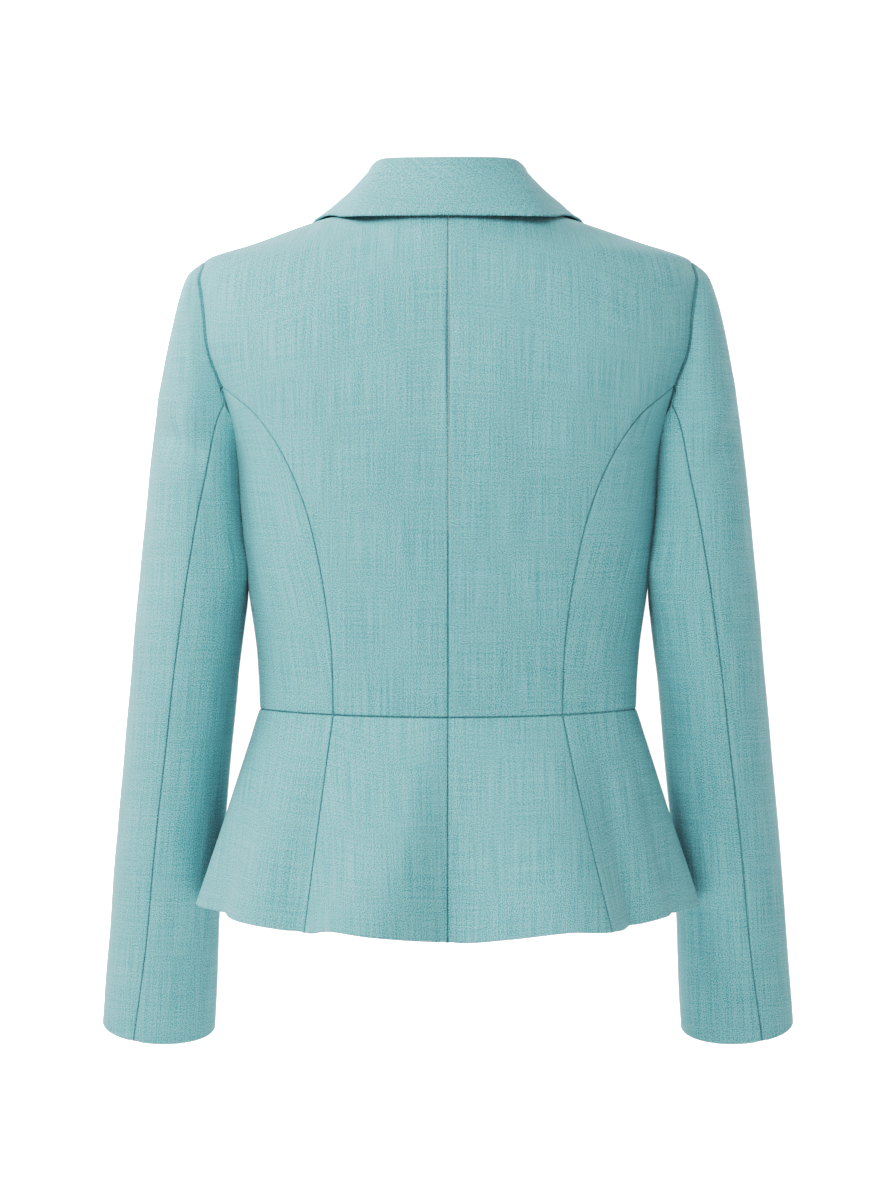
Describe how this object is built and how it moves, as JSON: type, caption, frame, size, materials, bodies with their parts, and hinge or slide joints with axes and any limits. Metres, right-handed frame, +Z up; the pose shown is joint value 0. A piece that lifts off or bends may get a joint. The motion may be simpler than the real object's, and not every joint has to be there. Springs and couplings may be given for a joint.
{
  "type": "tailored jacket",
  "caption": "Fitted tailored jacket with a notched collar, princess seams, long sleeves, a waist seam and a flared peplum, filled out as if worn.",
  "frame": {"origin": "on the centre plane at the height of the shoulders, where the wearer carries the jacket", "axes": "+Z up, the front faces -Y, +X is the wearer's left"},
  "size_m": [0.5678, 0.3222, 0.7066],
  "materials": {
    "wool_cloth": "matte fine worsted wool, teal melange",
    "button": "satin plastic"
  },
  "bodies": {
    "root": {"back_left": "wool_cloth", "back_right": "wool_cloth", "side_back_left": "wool_cloth", "side_back_right": "wool_cloth", "side_front_left": "wool_cloth", "side_front_right": "wool_cloth", "front_left": "wool_cloth", "front_right": "wool_cloth", "lapel_left": "wool_cloth", "lapel_right": "wool_cloth", "collar": "wool_cloth", "sleeve_upper_left": "wool_cloth", "sleeve_upper_right": "wool_cloth", "sleeve_under_left": "wool_cloth", "sleeve_under_right": "wool_cloth", "peplum_back_left": "wool_cloth", "peplum_back_right": "wool_cloth", "peplum_side_back_left": "wool_cloth", "peplum_side_back_right": "wool_cloth", "peplum_side_front_left": "wool_cloth", "peplum_side_front_right": "wool_cloth", "peplum_front_left": "wool_cloth", "peplum_front_right": "wool_cloth", "button": "button"}
  },
  "joints": []
}
